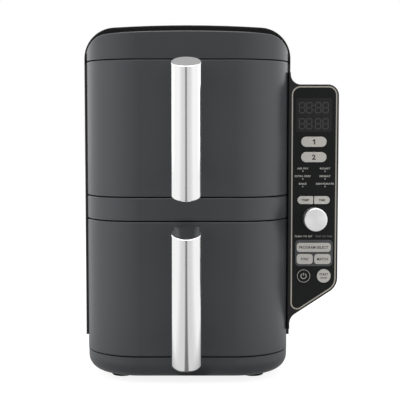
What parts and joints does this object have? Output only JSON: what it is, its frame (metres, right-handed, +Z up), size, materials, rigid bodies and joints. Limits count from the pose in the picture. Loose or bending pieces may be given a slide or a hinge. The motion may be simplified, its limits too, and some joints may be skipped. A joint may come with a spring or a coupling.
{
  "type": "air fryer",
  "caption": "Stacked-drawer air fryer with rounded grey fronts, upright metal bar handles, a crowned black cover and a side control wing with keys, display and dial.",
  "frame": {"origin": "on the worktop under the middle of the bounding box", "axes": "+Z up, -Y towards the front with the handles, +X towards the control wing"},
  "size_m": [0.2776, 0.47, 0.386],
  "materials": {
    "black_plastic": "fine satin texture, black",
    "grey_plastic": "satin dark grey",
    "inner_plastic": "matt black",
    "rubber": "matt",
    "silicone": "soft matt",
    "liner_steel": "galvanised sheet",
    "heater_steel": "oxidised tube",
    "fan_aluminium": "stamped sheet",
    "shaft_steel": "ground",
    "motor_steel": "plated can",
    "circuit_board": "solder mask",
    "lens_black": "smooth black",
    "trim_metal": "satin warm silver",
    "window_smoke": "smoked clear",
    "key_silver": "painted silver",
    "key_black": "smooth black",
    "dial_aluminium": "spun",
    "pan_coating": "ceramic non-stick, dark grey",
    "handle_steel": "satin polished"
  },
  "bodies": {
    "housing": {"top_cover": "black_plastic", "top_fascia": "grey_plastic", "mid_fascia": "grey_plastic", "base_pan": "grey_plastic", "left_side_panel": "black_plastic", "right_side_panel": "black_plastic", "rear_cover": "black_plastic", "rubber_feet": "rubber", "front_bulkhead": "inner_plastic", "upper_liner": "liner_steel", "lower_liner": "liner_steel", "upper_heater": "heater_steel", "lower_heater": "heater_steel", "upper_fan_guard": "liner_steel", "lower_fan_guard": "liner_steel", "upper_motor": "motor_steel", "lower_motor": "motor_steel", "temperature_probes": "heater_steel", "power_board": "circuit_board", "cord_gland": "rubber", "case_screws": "shaft_steel", "drawer_switches": "circuit_board", "wing_back": "black_plastic", "control_lens": "lens_black", "lens_trim": "trim_metal", "display_window": "window_smoke", "display_module": "circuit_board", "control_board": "circuit_board", "encoder": "shaft_steel"},
    "dial": {"dial_knob": "dial_aluminium", "dial_shaft": "shaft_steel"},
    "zone_one_key": {"zone_one_button": "key_silver"},
    "zone_two_key": {"zone_two_button": "key_silver"},
    "temperature_key": {"temperature_button": "key_silver"},
    "time_key": {"time_button": "key_silver"},
    "program_key": {"program_button": "key_silver"},
    "sync_key": {"sync_button": "key_silver"},
    "match_key": {"match_button": "key_silver"},
    "power_key": {"power_button": "key_black"},
    "start_key": {"start_button": "key_silver"},
    "upper_drawer": {"upper_drawer_front": "grey_plastic", "upper_drawer_carrier": "inner_plastic", "upper_drawer_pan": "pan_coating", "upper_handle": "handle_steel", "upper_handle_mount": "inner_plastic"},
    "upper_plate": {"upper_crisper_plate": "pan_coating", "upper_plate_bumpers": "silicone"},
    "upper_fan": {"upper_fan": "fan_aluminium", "upper_fan_shaft": "shaft_steel", "upper_cooling_fan": "fan_aluminium"},
    "lower_drawer": {"lower_drawer_front": "grey_plastic", "lower_drawer_carrier": "inner_plastic", "lower_drawer_pan": "pan_coating", "lower_handle": "handle_steel", "lower_handle_mount": "inner_plastic"},
    "lower_plate": {"lower_crisper_plate": "pan_coating", "lower_plate_bumpers": "silicone"},
    "lower_fan": {"lower_fan": "fan_aluminium", "lower_fan_shaft": "shaft_steel", "lower_cooling_fan": "fan_aluminium"}
  },
  "joints": [
    {"name": "dial_turn", "type": "hinge", "parent": "housing", "child": "dial", "pos_m": [0.11215, -0.135, 0.1757], "axis": [0, -1, 0], "continuous": true},
    {"name": "zone_one_press", "type": "slide", "parent": "housing", "child": "zone_one_key", "axis": [0, 1, 0], "range_m": [0, 0.0005], "stiffness_N_per_m": 1000},
    {"name": "zone_two_press", "type": "slide", "parent": "housing", "child": "zone_two_key", "axis": [0, 1, 0], "range_m": [0, 0.0005], "stiffness_N_per_m": 1000},
    {"name": "temperature_press", "type": "slide", "parent": "housing", "child": "temperature_key", "axis": [0, 1, 0], "range_m": [0, 0.0005], "stiffness_N_per_m": 1000},
    {"name": "time_press", "type": "slide", "parent": "housing", "child": "time_key", "axis": [0, 1, 0], "range_m": [0, 0.0005], "stiffness_N_per_m": 1000},
    {"name": "program_press", "type": "slide", "parent": "housing", "child": "program_key", "axis": [0, 1, 0], "range_m": [0, 0.0005], "stiffness_N_per_m": 1000},
    {"name": "sync_press", "type": "slide", "parent": "housing", "child": "sync_key", "axis": [0, 1, 0], "range_m": [0, 0.0005], "stiffness_N_per_m": 1000},
    {"name": "match_press", "type": "slide", "parent": "housing", "child": "match_key", "axis": [0, 1, 0], "range_m": [0, 0.0005], "stiffness_N_per_m": 1000},
    {"name": "power_press", "type": "slide", "parent": "housing", "child": "power_key", "axis": [0, 1, 0], "range_m": [0, 0.0005], "stiffness_N_per_m": 1000},
    {"name": "start_press", "type": "slide", "parent": "housing", "child": "start_key", "axis": [0, 1, 0], "range_m": [0, 0.0005], "stiffness_N_per_m": 1000},
    {"name": "upper_drawer_slide", "type": "slide", "parent": "housing", "child": "upper_drawer", "axis": [0, -1, 0], "range_m": [0, 0.262]},
    {"name": "upper_plate_lift", "type": "slide", "parent": "upper_drawer", "child": "upper_plate", "axis": [0, 0, 1], "range_m": [0, 0.04]},
    {"name": "upper_fan_spin", "type": "hinge", "parent": "housing", "child": "upper_fan", "pos_m": [-0.02625, 0.16, 0.27143], "axis": [0, 1, 0], "continuous": true},
    {"name": "lower_drawer_slide", "type": "slide", "parent": "housing", "child": "lower_drawer", "axis": [0, -1, 0], "range_m": [0, 0.262]},
    {"name": "lower_plate_lift", "type": "slide", "parent": "lower_drawer", "child": "lower_plate", "axis": [0, 0, 1], "range_m": [0, 0.04]},
    {"name": "lower_fan_spin", "type": "hinge", "parent": "housing", "child": "lower_fan", "pos_m": [-0.02625, 0.16, 0.10068], "axis": [0, 1, 0], "continuous": true}
  ]
}
